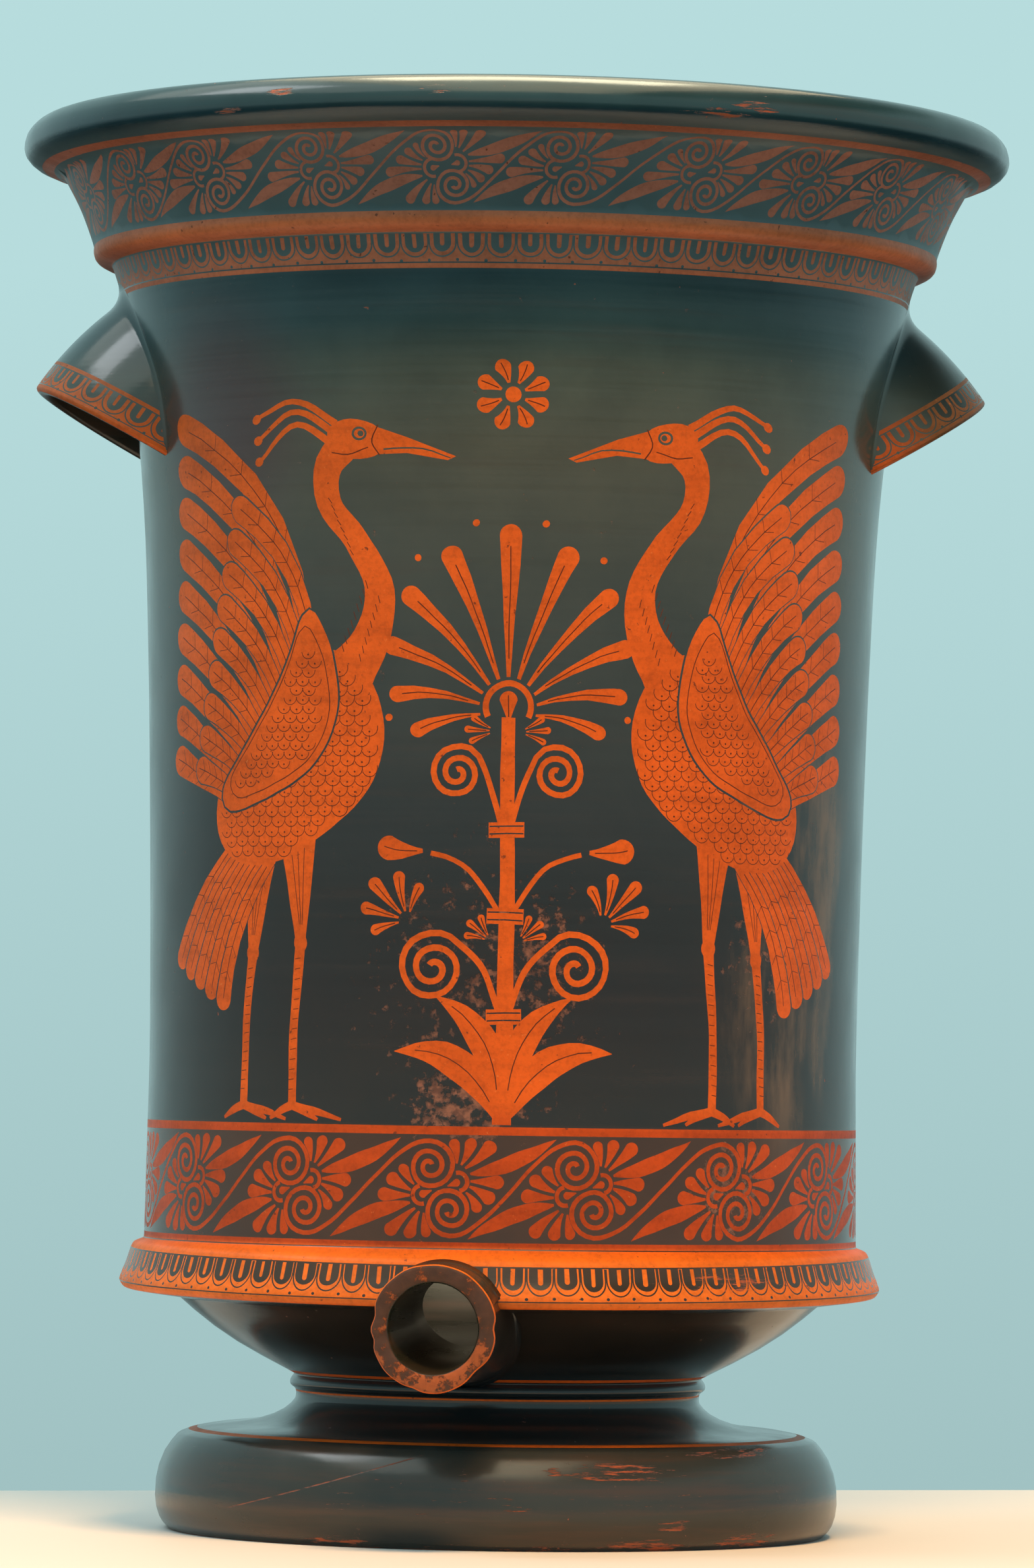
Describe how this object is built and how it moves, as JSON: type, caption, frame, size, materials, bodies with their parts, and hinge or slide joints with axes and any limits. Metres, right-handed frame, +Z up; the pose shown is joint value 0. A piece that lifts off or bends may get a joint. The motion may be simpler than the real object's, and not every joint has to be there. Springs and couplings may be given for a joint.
{
  "type": "krater",
  "caption": "Tall pottery krater with a flaring lip, pocket handles, a drain spout and a moulded foot, painted in black gloss and orange, for mixing and drawing off wine.",
  "frame": {"origin": "centre of the ring that the foot stands on", "axes": "+Z up along the vessel's axis, -Y towards the side with the spout"},
  "size_m": [0.3704, 0.3704, 0.5255],
  "materials": {
    "painted_clay": "fired black gloss slip with ornament left in orange clay, worn at the edges"
  },
  "bodies": {
    "root": {"krater": "painted_clay"}
  },
  "joints": []
}
